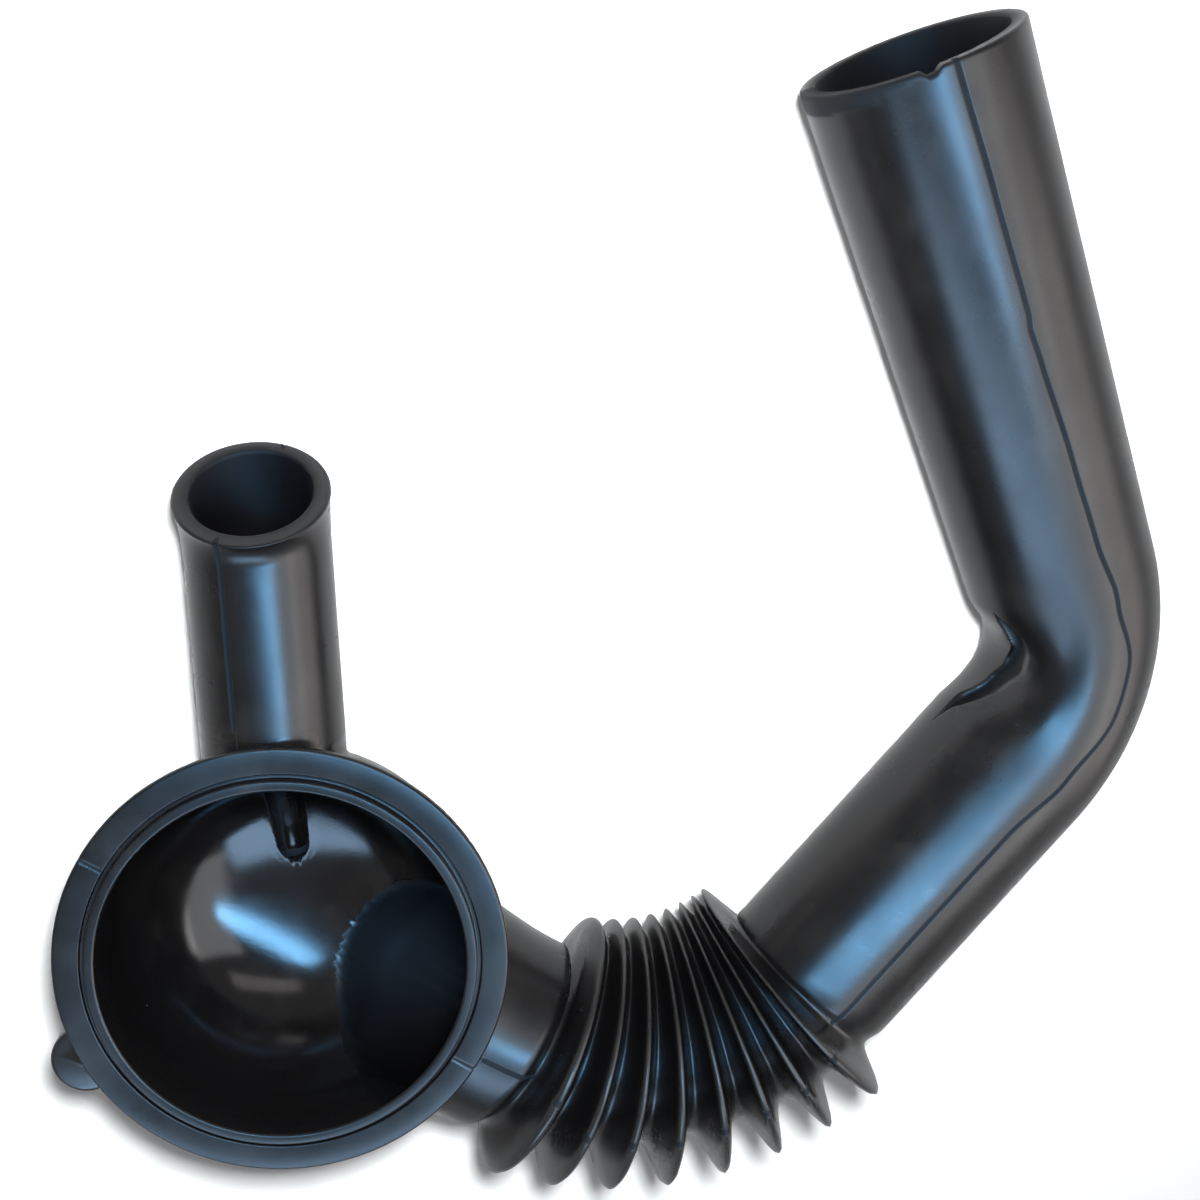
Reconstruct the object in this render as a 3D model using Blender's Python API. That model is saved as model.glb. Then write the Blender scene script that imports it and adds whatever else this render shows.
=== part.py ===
"""Connecting hose of a washing machine: one rubber moulding.

A wide shallow bowl with a flat sealing rim, a small bent spout behind the rim,
and a corrugated neck that runs on into a straight leg, an elbow and a long
flared leg. All sizes are in metres and all angles in degrees. The shapes are
worked out in the bowl's own frame, with the rim face in the plane z = 0 and
its axis along +Z, and the whole is laid down at the end as it rests.
"""
import bmesh
import bpy
from math import asin, cos, pi, radians, sin
from mathutils import Matrix, Vector

# Rim and bowl
RIM_OD = 0.0900
RIM_THICKNESS = 0.0054
RIM_EDGE = 0.0005
RIM_EDGE_DEPTH = 0.0016
RIM_FILLET = 0.0010
FLAT_INNER_D = 0.0792
GROOVE_WIDTH = 0.0009
GROOVE_DEPTH = 0.0009
LIP_HEIGHT = 0.0012
LIP_INNER_EDGE = 0.0004
LIP_OUTER_EDGE = 0.0003
GROOVE_SLOPE = 0.0002
BOWL_MOUTH_D = 0.0730
BOWL_DEPTH = 0.0435
BOWL_FLOOR_RADIUS = 0.0600
BOWL_CORNER_RADIUS = 0.0260
BOWL_WALL = 0.0034
BOWL_SIDES = 56

# Pipe: bore walls and outside diameters
WALL = 0.0032
NECK_OD = 0.0475
NECK_END_OD = 0.0440
LEG_OD = 0.0400
MOUTH_OD = 0.0446
PIPE_SIDES = 32
MOUTH_ROUNDING = 0.0006
CUT_PAST = 0.0060

# Line of the pipe
NECK_DEPTH = 0.02655
NECK_AZIMUTH = -32.8
NECK_END_CENTRE = 0.0300
NECK_LENGTH = 0.0472
BEND_LENGTH = 0.0832
LEG_AZIMUTH = 47.5
LEG_RISE = -3.7
LEG_LENGTH = 0.0599
ELBOW_RADIUS = 0.0420
ELBOW_FLAT = 0.0056
UPPER_AZIMUTH = 111.4
UPPER_RISE = 9.4
UPPER_LENGTH = 0.1126

# Bellows
FOLD_COUNT = 8
FOLD_PITCH = 0.00888
FIRST_FOLD = 0.0119
FOLD_OD = 0.0582
VALLEY_OD = 0.0385
FOLD_WALL = 0.0022
FOLD_SHARPNESS = 1.15
INNER_VALLEY_FILL = 0.0070
FOLD_LEAN = 0.0047
FOLD_LEAN_FALL = 1.20

# Spout
SPOUT_OD = 0.0292
SPOUT_MOUTH_OD = 0.0310
SPOUT_WALL = 0.0034
SPOUT_DEPTH = 0.0172
SPOUT_AZIMUTH = 92.2
SPOUT_LENGTH = 0.0800
SPOUT_BEND_RADIUS = 0.0240
SPOUT_BEND = 33.0
SPOUT_START = 0.0250
SPOUT_BORE_START = 0.0140
SPOUT_SIDES = 24

# Rib inside the bowl and lug outside it
RIB_RADIUS = 0.0041
RIB_TIP_SHARE = 0.55
RIB_TOP_SHARE = 0.80
RIB_END_SHARE = 1.10
RIB_SINK = 0.0009
RIB_AZIMUTH = 95.0
RIB_START = 0.0290
RIB_END = 0.0062
LUG_AZIMUTH = -153.0
LUG_RADIUS = 0.0070
LUG_REACH = 0.0520
LUG_TOP = 0.0030
LUG_BOTTOM = 0.0130

# How the moulding lies: its bowl axis leans from upright towards this azimuth
LEAN_AZIMUTH = 120.7
LEAN_ANGLE = 8.36

bowl_radius = BOWL_MOUTH_D / 2
bowl_outer_radius = bowl_radius + BOWL_WALL


def clear_scene():
    for item in list(bpy.data.objects):
        bpy.data.objects.remove(item, do_unlink=True)


def heading(azimuth, rise):
    turn = radians(azimuth)
    lift = radians(rise)
    return Vector((cos(lift) * cos(turn), cos(lift) * sin(turn), sin(lift)))


def finish_mesh(bm, name, collection):
    bmesh.ops.remove_doubles(bm, verts=bm.verts, dist=1e-7)
    bmesh.ops.recalc_face_normals(bm, faces=bm.faces)
    mesh = bpy.data.meshes.new(name)
    bm.to_mesh(mesh)
    bm.free()
    item = bpy.data.objects.new(name, mesh)
    collection.objects.link(item)
    return item


def revolve(name, profile, sides, collection):
    """Closed body of revolution about Z from a profile of (radius, height)."""
    bm = bmesh.new()
    verts = [bm.verts.new((radius, 0.0, height)) for radius, height in profile]
    edges = [bm.edges.new(pair) for pair in zip(verts, verts[1:])]
    bmesh.ops.spin(bm, geom=verts + edges, cent=(0, 0, 0), axis=(0, 0, 1),
                   angle=2 * pi, steps=sides, use_merge=True)
    return finish_mesh(bm, name, collection)


def sweep(name, stations, sides, collection):
    """Closed tube body through rings of (centre, direction, radius, flat, lean, inward).

    A ring is pressed in by flat on its inward side, or out where flat is negative,
    and every side but the one opposite leans forward along the tube.
    """
    bm = bmesh.new()
    loops = []
    for centre, direction, radius, flat, lean, inward in stations:
        across = direction.cross(Vector((0, 0, 1))).normalized()
        over = across.cross(direction).normalized()
        turn = Matrix((across, over, direction)).transposed().to_4x4()
        place = Matrix.Translation(centre) @ turn
        ring = bmesh.ops.create_circle(bm, segments=sides, radius=radius, matrix=place)["verts"]
        for vert in ring:
            reach = (vert.co - centre).dot(inward) / radius
            if reach > 0.0:
                vert.co -= inward * (flat * reach ** 2)
            vert.co += direction * (lean * (1 - ((1 - reach) / 2) ** 2))
        loops.append(list({edge for vert in ring for edge in vert.link_edges}))
    for first, second in zip(loops, loops[1:]):
        bmesh.ops.bridge_loops(bm, edges=first + second)
    for end in (loops[0], loops[-1]):
        bmesh.ops.edgeloop_fill(bm, edges=end)
    return finish_mesh(bm, name, collection)


def arc_place(start, first, last, radius, angle):
    """Place and direction after an angle of a bend from one direction to another."""
    inward = (last - first * first.dot(last)).normalized()
    centre = start + inward * radius
    place = centre - inward * (radius * cos(angle)) + first * (radius * sin(angle))
    direction = first * cos(angle) + inward * sin(angle)
    return place, direction


def pipe_line():
    """Straight and bent runs of the pipe, from the bowl's axis to the mouth."""
    first = heading(NECK_AZIMUTH, 0.0)
    leg = heading(LEG_AZIMUTH, LEG_RISE)
    upper = heading(UPPER_AZIMUTH, UPPER_RISE)
    start = Vector((0, 0, -NECK_DEPTH))
    bend_start = start + first * NECK_LENGTH
    bend_angle = first.angle(leg)
    bend_radius = BEND_LENGTH / bend_angle
    leg_start, _ = arc_place(bend_start, first, leg, bend_radius, bend_angle)
    elbow_start = leg_start + leg * LEG_LENGTH
    elbow_angle = leg.angle(upper)
    upper_start, _ = arc_place(elbow_start, leg, upper, ELBOW_RADIUS, elbow_angle)
    bend_inward = (leg - first * first.dot(leg)).normalized()
    elbow_inward = (upper - leg * leg.dot(upper)).normalized()

    def at(distance):
        """Centre, direction and inward side of the bend at a distance along the pipe."""
        if distance < NECK_LENGTH:
            return start + first * distance, first, bend_inward
        distance -= NECK_LENGTH
        if distance < BEND_LENGTH:
            angle = distance / bend_radius
            place, direction = arc_place(bend_start, first, leg, bend_radius, angle)
            inward = bend_inward * cos(angle) - first * sin(angle)
            return place, direction, inward
        distance -= BEND_LENGTH
        if distance < LEG_LENGTH:
            return leg_start + leg * distance, leg, elbow_inward
        distance -= LEG_LENGTH
        elbow_length = ELBOW_RADIUS * elbow_angle
        if distance < elbow_length:
            angle = distance / ELBOW_RADIUS
            place, direction = arc_place(elbow_start, leg, upper, ELBOW_RADIUS, angle)
            inward = elbow_inward * cos(angle) - leg * sin(angle)
            return place, direction, inward
        distance -= elbow_length
        return upper_start + upper * distance, upper, elbow_inward

    elbow_from = NECK_LENGTH + BEND_LENGTH + LEG_LENGTH
    elbow_to = elbow_from + ELBOW_RADIUS * elbow_angle
    return at, elbow_from, elbow_to, elbow_to + UPPER_LENGTH


def fold_share(distance):
    """0 in a valley of the bellows and 1 on a crest."""
    turns = (distance - NECK_LENGTH - FIRST_FOLD) / FOLD_PITCH
    wave = 0.5 + 0.5 * cos(2 * pi * turns)
    return wave ** FOLD_SHARPNESS


def fold_lean(distance):
    """How far the folds' inner and upper sides lean forward along the bend."""
    share = (distance - NECK_LENGTH - FIRST_FOLD) / (FOLD_COUNT * FOLD_PITCH)
    return FOLD_LEAN * (1 - FOLD_LEAN_FALL * max(share, 0.0) ** 2)


def pipe_stations(thickness, fold_thickness, end_past, end_rounding):
    """Rings of the pipe, drawn in by a wall thickness for the bore."""
    at, elbow_from, elbow_to, length = pipe_line()
    folds_from = NECK_LENGTH + FIRST_FOLD - FOLD_PITCH / 2
    folds_to = folds_from + FOLD_COUNT * FOLD_PITCH
    rings = []
    neck_radius = NECK_OD / 2 - thickness
    for step in range(1, 5):
        angle = radians(90 * step / 4)
        rings.append((NECK_END_CENTRE - neck_radius * cos(angle), neck_radius * sin(angle), 0.0, 0.0))
    neck_end = folds_from - FOLD_PITCH * 0.35
    rings.append((neck_end, NECK_END_OD / 2 - thickness, 0.0, fold_lean(neck_end)))
    steps = 4
    for step in range(FOLD_COUNT * steps + 1):
        distance = folds_from + step * FOLD_PITCH / steps
        share = fold_share(distance)
        outside = VALLEY_OD / 2 + share * (FOLD_OD - VALLEY_OD) / 2
        fill = INNER_VALLEY_FILL * (1 - share)
        rings.append((distance, outside - fold_thickness, -fill, fold_lean(distance)))
    leg_from = folds_to + FOLD_PITCH * 0.35
    rings.append((leg_from, LEG_OD / 2 - thickness, 0.0, fold_lean(leg_from)))
    rings.append((elbow_from, LEG_OD / 2 - thickness, 0.0, 0.0))
    bends = 7
    for step in range(1, bends):
        share = step / bends
        distance = elbow_from + share * (elbow_to - elbow_from)
        rings.append((distance, LEG_OD / 2 - thickness, ELBOW_FLAT * sin(pi * share) ** 2, 0.0))
    rings.append((elbow_to, LEG_OD / 2 - thickness, 0.0, 0.0))
    mouth_radius = MOUTH_OD / 2 - thickness
    if end_rounding:
        rings.append((length - end_rounding, mouth_radius, 0.0, 0.0))
        rings.append((length, mouth_radius - end_rounding, 0.0, 0.0))
    else:
        rings.append((length + end_past, mouth_radius, 0.0, 0.0))
    stations = []
    for distance, radius, flat, lean in rings:
        centre, direction, inward = at(distance)
        stations.append((centre, direction, radius, flat, lean, inward))
    return stations


def spout_stations(thickness, start_at, end_past, end_rounding):
    first = heading(SPOUT_AZIMUTH, 0.0)
    last = heading(SPOUT_AZIMUTH, SPOUT_BEND)
    radius = SPOUT_OD / 2 - thickness
    mouth = SPOUT_MOUTH_OD / 2 - thickness
    start = Vector((0, 0, -SPOUT_DEPTH))
    bend_start = start + first * SPOUT_LENGTH
    stations = [(start + first * start_at, first, radius, 0.0, 0.0, last)]
    bends = 7
    for step in range(bends + 1):
        angle = radians(SPOUT_BEND) * step / bends
        place, direction = arc_place(bend_start, first, last, SPOUT_BEND_RADIUS, angle)
        flare = (mouth - radius) * (step / bends) ** 2
        stations.append((place, direction, radius + flare, 0.0, 0.0, last))
    end, direction = stations.pop()[:2]
    if end_rounding:
        stations.append((end - direction * end_rounding, direction, mouth, 0.0, 0.0, last))
        stations.append((end, direction, mouth - end_rounding, 0.0, 0.0, last))
    else:
        stations.append((end + direction * end_past, direction, mouth, 0.0, 0.0, last))
    return stations


def bowl_side(thickness):
    """Half section of the bowl from its floor's middle up to where its side is straight."""
    reach = bowl_radius - BOWL_CORNER_RADIUS
    between_centres = BOWL_FLOOR_RADIUS - BOWL_CORNER_RADIUS
    lean = asin(reach / between_centres)
    floor_height = BOWL_FLOOR_RADIUS - BOWL_DEPTH
    corner_height = floor_height - between_centres * cos(lean)
    floor_steps = 3
    corner_steps = 8
    side = []
    for step in range(floor_steps):
        angle = lean * step / floor_steps
        radius = BOWL_FLOOR_RADIUS + thickness
        side.append((radius * sin(angle), floor_height - radius * cos(angle)))
    for step in range(corner_steps + 1):
        angle = lean + (pi / 2 - lean) * step / corner_steps
        radius = BOWL_CORNER_RADIUS + thickness
        side.append((reach + radius * sin(angle), corner_height - radius * cos(angle)))
    return side


def bowl_profile():
    """Bowl wall in one line: pole inside, up to the lip, over the rim, pole outside."""
    rim = RIM_OD / 2
    flat = FLAT_INNER_D / 2
    lip_outer = flat - GROOVE_WIDTH
    lip_middle = (lip_outer + bowl_radius) / 2
    profile = bowl_side(0.0)
    profile += [(bowl_radius, LIP_HEIGHT / 2), (bowl_radius + LIP_INNER_EDGE, LIP_HEIGHT)]
    profile += [(lip_middle, LIP_HEIGHT), (lip_outer - LIP_OUTER_EDGE, LIP_HEIGHT / 2)]
    profile += [(lip_outer, -GROOVE_DEPTH), (flat - GROOVE_SLOPE, -GROOVE_DEPTH), (flat, 0.0)]
    profile += [(rim - RIM_EDGE, 0.0), (rim, -RIM_EDGE), (rim, -RIM_EDGE_DEPTH)]
    profile += [(bowl_outer_radius + RIM_FILLET, -RIM_THICKNESS)]
    profile += [(bowl_outer_radius, -RIM_THICKNESS - RIM_FILLET)]
    profile += bowl_side(BOWL_WALL)[::-1]
    return profile


def bowl_middle_profile():
    """Middle of the bowl's wall, where the pipe and the spout are cut off."""
    middle = bowl_radius + BOWL_WALL / 2
    return [(0.0, CUT_PAST), (middle, CUT_PAST)] + bowl_side(BOWL_WALL / 2)[::-1]


def rib_stations():
    """Half round rib down the bowl's corner and along its floor, below the spout."""
    outward = heading(RIB_AZIMUTH, 0.0)
    side = bowl_side(RIB_SINK)[::-1]
    first = next(index for index, point in enumerate(side) if point[1] < -RIB_START)
    above, below = side[first - 1], side[first]
    share = (-RIB_START - above[1]) / (below[1] - above[1])
    line = [(above[0] + (below[0] - above[0]) * share, -RIB_START)]
    line += [point for point in side[first:] if point[0] > RIB_END]
    last = len(line) - 1
    stations = []
    for index, (radius, height) in enumerate(line):
        before = line[max(index - 1, 0)]
        after = line[min(index + 1, last)]
        direction = (outward * (after[0] - before[0]) + Vector((0, 0, after[1] - before[1]))).normalized()
        width = RIB_TOP_SHARE + (RIB_END_SHARE - RIB_TOP_SHARE) * index / last
        if index == 0:
            width *= RIB_TIP_SHARE
        place = outward * radius + Vector((0, 0, height))
        stations.append((place, direction, RIB_RADIUS * width, 0.0, 0.0, outward))
    return stations


def rubber():
    material = bpy.data.materials.new("rubber_black")
    material.use_nodes = True
    shader = material.node_tree.nodes["Principled BSDF"]
    shader.inputs["Base Color"].default_value = (0.014, 0.015, 0.018, 1.0)
    shader.inputs["Roughness"].default_value = 0.38
    shader.inputs["Metallic"].default_value = 0.0
    material.diffuse_color = (0.014, 0.015, 0.018, 1.0)
    return material


def add_boolean(item, cutter, operation):
    modifier = item.modifiers.new(cutter.name, "BOOLEAN")
    modifier.operation = operation
    modifier.solver = "EXACT"
    modifier.object = cutter


def lay_down(items, hose):
    """Turns every mesh to the resting pose and sets the moulding on the floor."""
    towards = Vector((cos(radians(LEAN_AZIMUTH)), sin(radians(LEAN_AZIMUTH)), 0.0))
    turn = Matrix.Rotation(radians(LEAN_ANGLE), 4, Vector((0, 0, 1)).cross(towards))
    for item in items:
        item.data.transform(turn)
    graph = bpy.context.evaluated_depsgraph_get()
    graph.update()
    finished = hose.evaluated_get(graph).to_mesh()
    corners = [vert.co.copy() for vert in finished.vertices]
    hose.evaluated_get(graph).to_mesh_clear()
    low = Vector([min(corner[axis] for corner in corners) for axis in range(3)])
    high = Vector([max(corner[axis] for corner in corners) for axis in range(3)])
    shift = Vector(((low.x + high.x) / 2, (low.y + high.y) / 2, low.z))
    for item in items:
        item.data.transform(Matrix.Translation(-shift))


def main():
    clear_scene()
    parts = bpy.data.collections.new("washing_machine_connecting_hose")
    cutters = bpy.data.collections.new("cutters")
    bpy.context.scene.collection.children.link(parts)
    bpy.context.scene.collection.children.link(cutters)

    hose = revolve("hose", bowl_profile(), BOWL_SIDES, parts)
    pipe = sweep("pipe_outside", pipe_stations(0.0, 0.0, 0.0, MOUTH_ROUNDING), PIPE_SIDES, cutters)
    spout = sweep("spout_outside", spout_stations(0.0, SPOUT_START, 0.0, MOUTH_ROUNDING), SPOUT_SIDES, cutters)
    reach = heading(LUG_AZIMUTH, 0.0) * (LUG_REACH - LUG_RADIUS)
    lug_line = [reach - Vector((0, 0, LUG_TOP)), reach - Vector((0, 0, LUG_BOTTOM))]
    lug_bm = bmesh.new()
    middle = (lug_line[0] + lug_line[1]) / 2
    bmesh.ops.create_cone(lug_bm, cap_ends=True, segments=20, radius1=LUG_RADIUS, radius2=LUG_RADIUS,
                          depth=LUG_BOTTOM - LUG_TOP, matrix=Matrix.Translation(middle))
    lug = finish_mesh(lug_bm, "lug_outside", cutters)
    bowl_middle = revolve("bowl_middle", bowl_middle_profile(), BOWL_SIDES, cutters)
    pipe_core = sweep("pipe_inside", pipe_stations(WALL, FOLD_WALL, CUT_PAST, 0.0), PIPE_SIDES, cutters)
    spout_bore = spout_stations(SPOUT_WALL, SPOUT_BORE_START, CUT_PAST, 0.0)
    spout_core = sweep("spout_inside", spout_bore, SPOUT_SIDES, cutters)
    rib = sweep("rib_in_bowl", rib_stations(), 14, cutters)

    for body in (pipe, spout, lug):
        add_boolean(body, bowl_middle, "DIFFERENCE")
        add_boolean(hose, body, "UNION")
    for core in (pipe_core, spout_core):
        add_boolean(hose, core, "DIFFERENCE")
    add_boolean(rib, bowl_middle, "INTERSECT")
    add_boolean(hose, rib, "UNION")

    hose.data.materials.append(rubber())
    cut_items = [bowl_middle, pipe, spout, lug, pipe_core, spout_core, rib]
    for item in cut_items:
        item.hide_render = True
        item.display_type = "WIRE"
    lay_down([hose] + cut_items, hose)


main()
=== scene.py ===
"""Connecting hose of a washing machine, dressed for display.

One rubber moulding at full detail: a bowl with a sealing rim, a groove and a
lip, a spout, a neck, bellows, two legs, a crease on the elbow, mould seams and
a torn place in the mouth's edge. Lengths are in metres and angles in degrees.
Shapes are worked out in the bowl's own frame, with the rim's face in the plane
z = 0, and turned to the resting pose at the end.
"""

from math import asin, cos, degrees, pi, radians, sin, tan

import bmesh
import bpy
from bpy.props import FloatProperty, FloatVectorProperty, IntProperty, PointerProperty
from mathutils import Matrix, Vector
from mathutils.kdtree import KDTree


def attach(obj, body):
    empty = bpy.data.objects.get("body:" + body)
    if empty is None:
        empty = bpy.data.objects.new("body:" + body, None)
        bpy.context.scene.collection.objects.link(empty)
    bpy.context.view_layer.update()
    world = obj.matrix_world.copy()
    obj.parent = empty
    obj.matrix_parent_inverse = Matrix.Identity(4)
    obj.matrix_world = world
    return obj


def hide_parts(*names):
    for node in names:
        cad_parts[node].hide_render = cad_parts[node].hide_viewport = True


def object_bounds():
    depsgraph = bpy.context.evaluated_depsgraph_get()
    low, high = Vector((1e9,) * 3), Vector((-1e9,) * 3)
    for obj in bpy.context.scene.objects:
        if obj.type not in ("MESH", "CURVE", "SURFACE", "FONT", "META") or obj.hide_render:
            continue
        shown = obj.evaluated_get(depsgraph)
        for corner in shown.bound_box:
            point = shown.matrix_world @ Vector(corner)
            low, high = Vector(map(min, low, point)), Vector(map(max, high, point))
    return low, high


bl_info = {
    "name": "Connecting hose",
    "version": (1, 0, 0),
    "blender": (4, 5, 0),
    "location": "View3D > Sidebar > Hose",
    "description": "Models the rubber connecting hose of a washing machine and its stage",
    "category": "Add Mesh",
}

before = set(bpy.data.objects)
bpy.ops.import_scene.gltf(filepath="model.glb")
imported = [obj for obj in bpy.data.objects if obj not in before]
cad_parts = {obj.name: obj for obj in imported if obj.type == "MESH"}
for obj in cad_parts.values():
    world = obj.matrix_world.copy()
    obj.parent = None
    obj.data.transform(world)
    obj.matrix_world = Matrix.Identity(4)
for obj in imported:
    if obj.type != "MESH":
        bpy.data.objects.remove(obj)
cad_box = [list(corner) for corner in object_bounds()]

# Resting pose of the bowl's frame, the same as the solid's
LEAN_AZIMUTH = 120.7
LEAN_ANGLE = 8.36
REST_PLACE = Vector((-0.07124547, -0.05742474, 0.04758370))

# Where the moulding is cut into a body with walls that cross and plain tubes
NECK_JOINT = 0.0469
SPOUT_JOINT = 0.0480
# Where the roots and the bores start in the bowl, and how far a bore runs on
# past its joint
NECK_ROOT = 0.0300
SPOUT_ROOT = 0.0250
SPOUT_BORE = 0.0140
PAST_JOINT = 0.0040
# Radius within which a joint's flat ring lies
NECK_REACH = 0.0300
SPOUT_REACH = 0.0200
# Where the spout's dark bore starts, and how far a dark mark reaches past its edge; the dark is painted
# shade inside the bore
SPOUT_DARK = 0.0300
BORE_EDGE = 0.0012

# Mould seams: distance between a seam's columns, its depth, and the depth of
# the nicks on a fold above a share of the fold's height
SEAM_COLUMN = 0.00034
SEAM_DEPTH = 0.0003
NICK_DEPTH = 0.0006
NICK_FROM = 0.86
# Angle of the upper seam round the pipe against the distance along it
SEAM_ON_PIPE = [
    (0.0580, 92.5), (0.0700, 76.0), (0.0860, 73.0), (0.1120, 75.0), (0.1230, 80.5), (0.1550, 80.8),
    (0.1780, 80.5), (0.1950, 74.8), (0.2110, 65.2), (0.2200, 65.2), (0.2339, 75.5), (0.2497, 80.1),
    (0.2674, 81.6), (0.2930, 84.6), (0.2960, 85.8), (0.3004, 84.4), (0.3263, 85.2), (0.3505, 86.4),
]
SPOUT_SEAM = 114.0
RIM_SEAMS = (148.7, -32.9)

# Rounding of the tubes' ends
MOUTH_ROUNDING = 0.0007
# Share of the fold pitch over which the bellows run into the neck and the leg
FLANK = 0.35
# Points in each arc of the bowl's half section
SIDE_STEPS = 14

# Torn place in the mouth's edge: its angle and half width in degrees, how far it
# reaches down the pipe and how deep the edge is torn
NOTCH_MIDDLE = 99.0
NOTCH_WIDTH = 5.5
NOTCH_LENGTH = 0.0030
NOTCH_DEPTH = 0.0012
# Width of the darker, duller band along the mouth's edge against the angle round the pipe
BAND_WIDTH = [(96.0, 0.0008), (122.0, 0.0016), (128.0, 0.0034), (190.0, 0.0040)]

# Fold on the elbow's inner side: its angle round the pipe and its width in
# degrees, against the distance along the pipe
CREASE_MIDDLE = [(0.1840, 171.0), (0.1950, 167.5), (0.2070, 161.5), (0.2150, 154.0), (0.2222, 148.0),
                 (0.2400, 154.5)]
CREASE_WIDTH = [(0.1840, 0.0), (0.2000, 9.0), (0.2130, 13.0), (0.2230, 8.0), (0.2390, 0.0)]
# How many of its widths the fold reaches on its sharp and on its flat side, and
# the width from which it has its full depth
CREASE_SHARP = 0.55
CREASE_FLAT = 1.25
CREASE_FULL = 8.0

# Creases sharper than this angle are rounded, over this distance, in these rounds
SOFT_ANGLE = 24.0
SOFT_REACH = 0.0017
SOFT_ROUNDS = 7

# How much the rubber's roughness changes from place to place
GLOSS_CHANGE = 0.09

# Camera of the photograph
CAMERA_PLACE = (-0.0607, 0.1332, 0.3652)
CAMERA_RIGHT = (0.9875, 0.0152, 0.1571)
CAMERA_BACK = (-0.1529, 0.3392, 0.9281)


def length(name, default, description):
    return FloatProperty(name=name, default=default, description=description,
                         unit="LENGTH", subtype="DISTANCE", precision=5)


def number(name, default, description):
    return FloatProperty(name=name, default=default, description=description)


def colour(name, default, description):
    return FloatVectorProperty(name=name, default=default, description=description,
                               subtype="COLOR", size=3, min=0.0, max=1.0)


def share(name, default, description):
    return FloatProperty(name=name, default=default, description=description,
                         subtype="FACTOR", min=0.0, max=1.0)


class BowlSizes(bpy.types.PropertyGroup):
    rim_outside: length("Rim diameter", 0.0900, "Outside diameter of the sealing rim")
    rim_thickness: length("Rim thickness", 0.0054, "Thickness of the rim at its root")
    rim_edge: length("Rim edge", 0.0016, "Thickness of the rim at its outer edge")
    flat_inside: length("Flat face inside", 0.0792, "Inside diameter of the flat sealing face")
    groove_width: length("Groove width", 0.0009, "Width of the groove inside the flat face")
    groove_depth: length("Groove depth", 0.0009, "Depth of that groove")
    lip_height: length("Lip height", 0.0012, "How far the lip stands above the face")
    mouth: length("Bowl diameter", 0.0730, "Inside diameter of the bowl")
    depth: length("Bowl depth", 0.0435, "Depth of the bowl's floor below the face")
    floor_radius: length("Floor radius", 0.0600, "Radius of the bowl's shallow floor")
    corner_radius: length("Corner radius", 0.0260, "Radius between the bowl's side and its floor")
    wall: length("Bowl wall", 0.0034, "Wall thickness of the bowl")
    lug_azimuth: number("Lug direction", -153.0, "Direction of the lug under the rim, in degrees")
    lug_radius: length("Lug radius", 0.0070, "Radius of the lug's end")
    lug_reach: length("Lug reach", 0.0520, "Distance of the lug's tip from the bowl's axis")
    lug_top: length("Lug top", 0.0030, "Depth of the lug's top below the face")
    lug_bottom: length("Lug bottom", 0.0130, "Depth of the lug's underside")
    rib_radius: length("Rib radius", 0.0041, "Radius of the half round rib in the bowl")
    rib_azimuth: number("Rib direction", 95.0, "Direction of the rib in the bowl, in degrees")
    rib_start: length("Rib start", 0.0290, "Depth at which the rib starts, below the spout's opening")
    rib_end: length("Rib end", 0.0062, "Distance of the rib's end from the bowl's axis")


class PipeSizes(bpy.types.PropertyGroup):
    wall: length("Pipe wall", 0.0032, "Wall thickness of the pipe")
    neck_outside: length("Neck diameter", 0.0475, "Outside diameter where the neck leaves the bowl")
    neck_end: length("Neck end diameter", 0.0440, "Outside diameter of the neck at the bellows")
    leg_outside: length("Leg diameter", 0.0400, "Outside diameter of the straight legs")
    mouth_outside: length("Mouth diameter", 0.0446, "Outside diameter of the flared mouth")
    neck_depth: length("Neck depth", 0.02655, "Depth of the neck's centreline below the face")
    neck_azimuth: number("Neck direction", -32.8, "Direction in which the neck leaves, in degrees")
    neck_length: length("Neck length", 0.0472, "Length of the straight neck from the bowl's axis")
    bend_length: length("Bellows length", 0.0832, "Length of the bent run with the bellows")
    leg_azimuth: number("Leg direction", 47.5, "Direction of the lower leg, in degrees")
    leg_rise: number("Leg rise", -3.7, "Rise of the lower leg, in degrees")
    leg_length: length("Leg length", 0.0599, "Length of the straight lower leg")
    elbow_radius: length("Elbow radius", 0.0420, "Radius of the elbow's centreline")
    elbow_flat: length("Elbow flattening", 0.0056, "How far the elbow's inner side is pressed in")
    upper_azimuth: number("Long leg direction", 111.4, "Direction of the long leg, in degrees")
    upper_rise: number("Long leg rise", 9.4, "Rise of the long leg, in degrees")
    upper_length: length("Long leg length", 0.1126, "Length of the long leg")
    crease_depth: length("Crease depth", 0.0024, "Depth of the fold on the elbow's inner side")


class BellowsSizes(bpy.types.PropertyGroup):
    count: IntProperty(name="Folds", default=8, min=1, description="Number of folds")
    pitch: length("Fold pitch", 0.00888, "Distance between folds along the centreline")
    first: length("First fold", 0.0119, "Distance of the first fold from the neck's end")
    crest: length("Crest diameter", 0.0582, "Outside diameter of a fold")
    valley: length("Valley diameter", 0.0385, "Outside diameter between folds")
    wall: length("Fold wall", 0.0022, "Wall thickness of the bellows")
    fill: length("Inner valley fill", 0.0070, "Filling of the valleys on the bend's inner side")
    lean: length("Fold lean", 0.0055, "How far the folds' inner and upper sides lean forward")
    lean_fall: number("Lean fall", 1.83, "Above 1 the last folds lean back")
    ridge: share("Inner ridge", 0.5, "Lower makes the crests broader on the bend's inner side")
    sharpness: number("Fold sharpness", 1.7, "Higher is a thinner fin")
    first_sharpness: number("First fold sharpness", 1.0, "The first fold is wider and rounder")


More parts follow.
